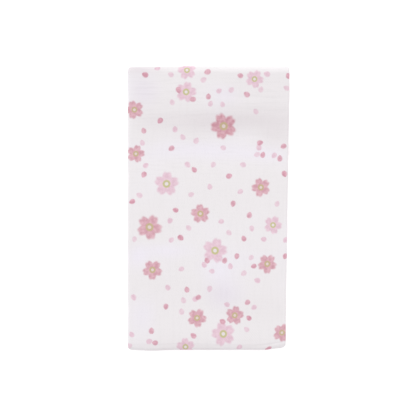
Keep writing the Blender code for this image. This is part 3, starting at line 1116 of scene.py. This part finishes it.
def printed_colour(root, cloth, gauze):
    """The gauze's colour with the print on it: pale petals, then blossoms, then rose petals."""
    strength = root.node("ShaderNodeAttribute", {"attribute_name": "ink"}).output("Fac")
    taken_up = noise(cloth, TAKEN_UP_SCALE, TAKEN_UP_DETAIL).step(*TAKEN_UP_STEP)
    rose = mixed(taken_up, ROSE_INK, ROSE_LIGHT)
    pale = mixed(taken_up, PALE_INK, PALE_LIGHT)
    loose_rose = mixed(taken_up, LOOSE_ROSE_INK, LOOSE_ROSE_LIGHT)
    pale_petal = petal_mask(place_in(root, "pale_petal"), *PALE_STRENGTH)
    rose_petal = petal_mask(place_in(root, "rose_petal"), *ROSE_STRENGTH)
    blossom = place_in(root, "blossom")
    petals, ring, eye = blossom_masks(blossom)
    _, _, is_rose = separated(blossom)
    colour = mixed(pale_petal * strength, gauze, pale)
    colour = mixed(petals * strength, colour, mixed(is_rose, pale, rose, clamped=False))
    colour = mixed(ring * strength, colour, mixed(is_rose, STAMEN_ON_PALE, STAMEN_ON_ROSE))
    colour = mixed(eye * strength, colour, mixed(is_rose, EYE_ON_PALE, EYE_ON_ROSE))
    return mixed(rose_petal * strength, colour, loose_rose, clamped=False)


def emptied(material):
    """The start of a material's formulas, with its node tree cleared."""
    material.use_nodes = True
    material.node_tree.nodes.clear()
    return Field(material.node_tree)


def printed_gauze_recipe(material):
    """Gauze in its own tones, the print, faint streaks, and painted shade and highlight, over the weave's
    bump.
    """
    root = emptied(material)
    cloth = root.node("ShaderNodeUVMap", {"uv_map": "cloth"})
    cool, shade = tone_and_painted_shade(cloth)
    colour = printed_colour(root, cloth, mixed(cool, CLOTH_PLAIN, CLOTH_COOL))
    colour = darkened(colour, thread_streaks(cloth) * STREAK_DEPTH)
    # painted shade here, and painted highlight where the share is below 0
    colour = mixed(shade * SHADE_DEPTH, colour, SHADE_TINT, clamped=False)
    weave = {"Height": woven_height(cloth), "Strength": WEAVE_STRENGTH, "Distance": WEAVE_DEPTH}
    finish = root.node("ShaderNodeBsdfPrincipled", values={
        "Base Color": colour, "Roughness": 0.92, "Normal": root.node("ShaderNodeBump", values=weave),
        "Specular IOR Level": 0.2, "Sheen Weight": 0.1, "Sheen Roughness": 0.5,
    })
    root.node("ShaderNodeOutputMaterial", values={"Surface": finish})


def hem_thread_recipe(material):
    """Plain cotton thread, a little glossier than the gauze, with its twist as fine slanting bands."""
    root = emptied(material)
    place = root.node("ShaderNodeTexCoord").output("Object")
    bands = root.node("ShaderNodeTexWave", {"bands_direction": "DIAGONAL"},
                      {"Vector": place, "Scale": TWIST_SCALE})
    twist = bands.output("Fac")
    ridges = {"Height": twist, "Strength": TWIST_STRENGTH, "Distance": TWIST_DEPTH}
    finish = root.node("ShaderNodeBsdfPrincipled", values={
        "Base Color": mixed(twist, THREAD_DULL, THREAD_BRIGHT), "Roughness": 0.7,
        "Normal": root.node("ShaderNodeBump", values=ridges),
    })
    root.node("ShaderNodeOutputMaterial", values={"Surface": finish})


printed_gauze_recipe(printed_gauze)
hem_thread_recipe(hem_thread)
print("the gauze's material has", len(printed_gauze.node_tree.nodes), "nodes")

# %% [markdown]
# The towel lies on a plain white surface in even light from all round, with one soft lamp beyond its upper
# end, a little to the left. The camera looks straight down on it from about a metre, as for a shop's picture
# of a flat thing.

# %% The white surface
FLOOR_SIZE = 3.0
FLOOR_DROP = 0.0002
FLOOR_WHITE = (0.95, 0.95, 0.95, 1.0)
FLOOR_ROUGHNESS = 0.9
FLOOR_GLOW = 0.28  # so that it shows as pure white round the towel
WHITE = (1.0, 1.0, 1.0, 1.0)

floor_mesh = bpy.data.meshes.new("white_surface")
half_floor = FLOOR_SIZE / 2
floor_corners = [(-half_floor, -half_floor), (half_floor, -half_floor),
                 (half_floor, half_floor), (-half_floor, half_floor)]
floor_mesh.from_pydata([(x, y, -FLOOR_DROP) for x, y in floor_corners], [], [(0, 1, 2, 3)])
white_surface = new_piece("white_surface", floor_mesh)
floor_finish = bpy.data.materials.new("white_card")
floor_finish.use_nodes = True
floor_shader = floor_finish.node_tree.nodes["Principled BSDF"]
floor_shader.inputs["Base Color"].default_value = FLOOR_WHITE
floor_shader.inputs["Roughness"].default_value = FLOOR_ROUGHNESS
floor_shader.inputs["Emission Color"].default_value = WHITE
floor_shader.inputs["Emission Strength"].default_value = FLOOR_GLOW
floor_mesh.materials.append(floor_finish)
print("the surface is", FLOOR_SIZE, "m square")

# %% Light and camera
VIEW_WIDTH = 0.2929
LENS = 120.0
SENSOR = 36.0
IMAGE_SIDE = 416
PIXEL = VIEW_WIDTH / IMAGE_SIDE
TOWEL_MIDDLE_IN_PHOTO = (208.6, 208.2)
PHOTO_MIDDLE = (208.0, 208.0)
STUDIO_STRENGTH = 0.82


def key_light(name, azimuth, elevation, power, softness, colour):
    """A large far light, so that it is even over the whole towel. Azimuth 90 is beyond its upper end."""
    light = bpy.data.lights.new(name, "SUN")
    light.energy = power
    light.angle = math.radians(softness)
    light.color = colour
    lamp = bpy.data.objects.new(name, light)
    lamp.rotation_euler = (math.radians(90 - elevation), 0, math.radians(azimuth + 90))
    bpy.context.scene.collection.objects.link(lamp)
    return lamp


key_light("key_light", azimuth=108, elevation=45, power=0.72, softness=30, colour=(1.0, 0.995, 0.99))
world = bpy.data.worlds.new("studio")
world.use_nodes = True
studio_light = world.node_tree.nodes["Background"]
studio_light.inputs["Color"].default_value = WHITE
studio_light.inputs["Strength"].default_value = STUDIO_STRENGTH
scene = bpy.context.scene
scene.world = world
scene.view_settings.view_transform = "Standard"

camera_data = bpy.data.cameras.new("camera")
camera_data.lens = LENS
camera_data.sensor_width = SENSOR
camera = bpy.data.objects.new("camera", camera_data)
camera.location = (
    (PHOTO_MIDDLE[0] - TOWEL_MIDDLE_IN_PHOTO[0]) * PIXEL,
    (TOWEL_MIDDLE_IN_PHOTO[1] - PHOTO_MIDDLE[1]) * PIXEL,
    CAD_HIGH[2] + VIEW_WIDTH * LENS / SENSOR,
)
scene.collection.objects.link(camera)
scene.camera = camera
print("the camera is", round(camera.location[2], 3), "m up")

# %% [markdown]
# Last, the cloth replaces the plain solid, and everything rides on the part's one body.

# %% Put the cloth in place of the plain solid
for path in (path_across, path_along):
    bpy.data.objects.remove(path)
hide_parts("towel")
for piece in (towel, *threads):
    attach(piece, "root")
